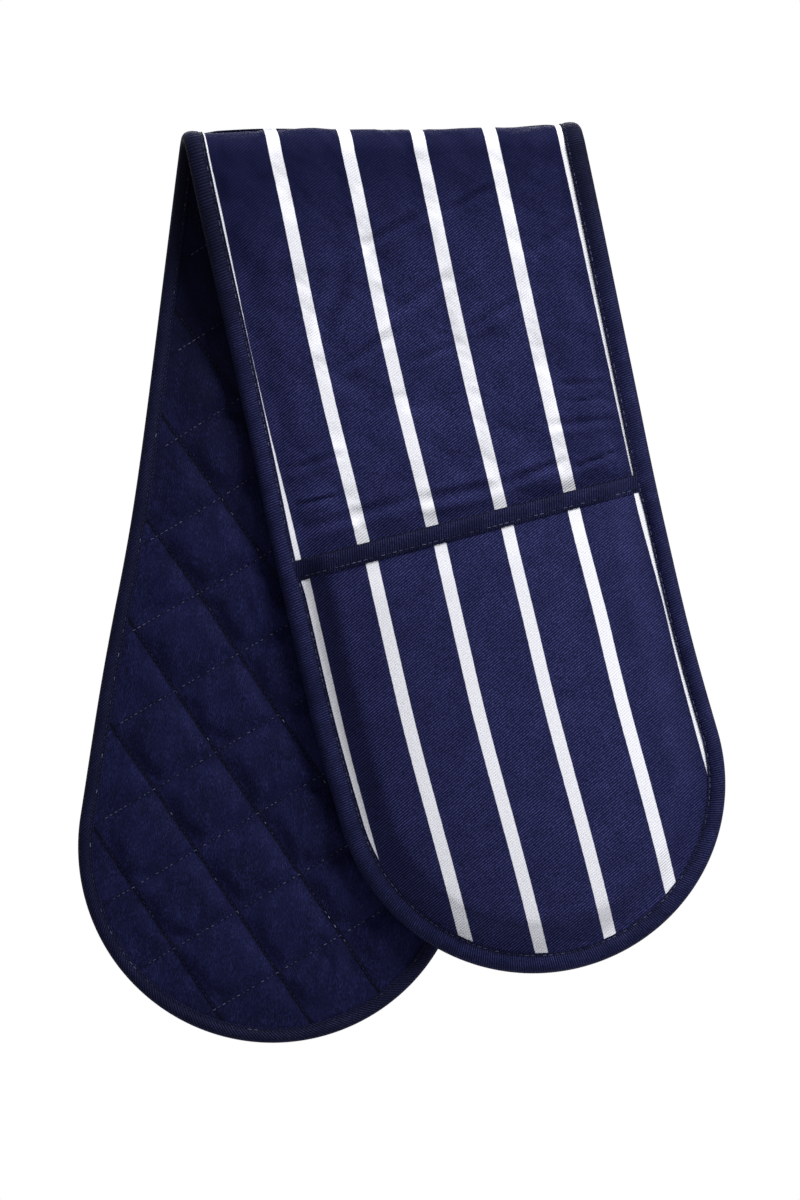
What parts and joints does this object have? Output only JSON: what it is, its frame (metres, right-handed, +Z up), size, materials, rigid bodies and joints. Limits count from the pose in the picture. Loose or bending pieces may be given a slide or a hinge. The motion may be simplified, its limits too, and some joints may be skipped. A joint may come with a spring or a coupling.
{
  "type": "double oven glove",
  "caption": "Long padded strip with a hand pocket on each round end, folded over a rail; striped twill outside, quilted lining inside, bias-bound edges.",
  "frame": {"origin": "the top of the rail under the fold, at the middle of the strip's width, where the fold's inner side rests", "axes": "+Z up, along the hanging legs; X along the rail, the front leg slanting towards +X and the rear leg towards -X; -Y is the front, the thin way through both legs"},
  "size_m": [0.3018, 0.0406, 0.423],
  "materials": {
    "striped_twill": "matt cotton twill, navy with white butcher stripes",
    "quilted_cotton": "matt quilted cotton, navy",
    "bias_binding": "folded cotton bias binding, navy, topstitched",
    "cotton_wadding": "soft needled cotton wadding",
    "pocket_lining": "plain cotton, navy"
  },
  "bodies": {
    "saddle": {"saddle_outer_panel": "striped_twill", "saddle_wadding": "cotton_wadding", "saddle_lining": "quilted_cotton", "saddle_binding_left": "bias_binding", "saddle_binding_right": "bias_binding"},
    "front_leg": {"front_outer_panel": "striped_twill", "front_wadding": "cotton_wadding", "front_quilted_lining": "quilted_cotton", "front_edge_binding": "bias_binding"},
    "front_pocket": {"front_pocket_panel": "striped_twill", "front_pocket_wadding": "cotton_wadding", "front_pocket_lining": "pocket_lining", "front_mouth_binding": "bias_binding"},
    "rear_leg": {"rear_outer_panel": "striped_twill", "rear_wadding": "cotton_wadding", "rear_quilted_lining": "quilted_cotton", "rear_edge_binding": "bias_binding"},
    "rear_pocket": {"rear_pocket_panel": "striped_twill", "rear_pocket_wadding": "cotton_wadding", "rear_pocket_lining": "pocket_lining", "rear_mouth_binding": "bias_binding"}
  },
  "joints": [
    {"name": "front_leg_swing", "type": "hinge", "parent": "saddle", "child": "front_leg", "pos_m": [0, -0.0123, -0.014], "axis": [-1, 0, 0], "range_deg": [0, 90]},
    {"name": "rear_leg_swing", "type": "hinge", "parent": "saddle", "child": "rear_leg", "pos_m": [0, 0.0123, -0.014], "axis": [1, 0, 0], "range_deg": [0, 90]},
    {"name": "front_pocket_open", "type": "hinge", "parent": "front_leg", "child": "front_pocket", "pos_m": [0.07668, -0.0073, -0.37689], "axis": [0.9759, 0, 0.2181], "range_deg": [0, 12], "stiffness_Nm_per_rad": 0.1, "springref_deg": -5.73},
    {"name": "rear_pocket_open", "type": "hinge", "parent": "rear_leg", "child": "rear_pocket", "pos_m": [-0.07945, 0.0073, -0.40553], "axis": [-0.9781, 0, 0.2079], "range_deg": [0, 12], "stiffness_Nm_per_rad": 0.1, "springref_deg": -5.73}
  ]
}
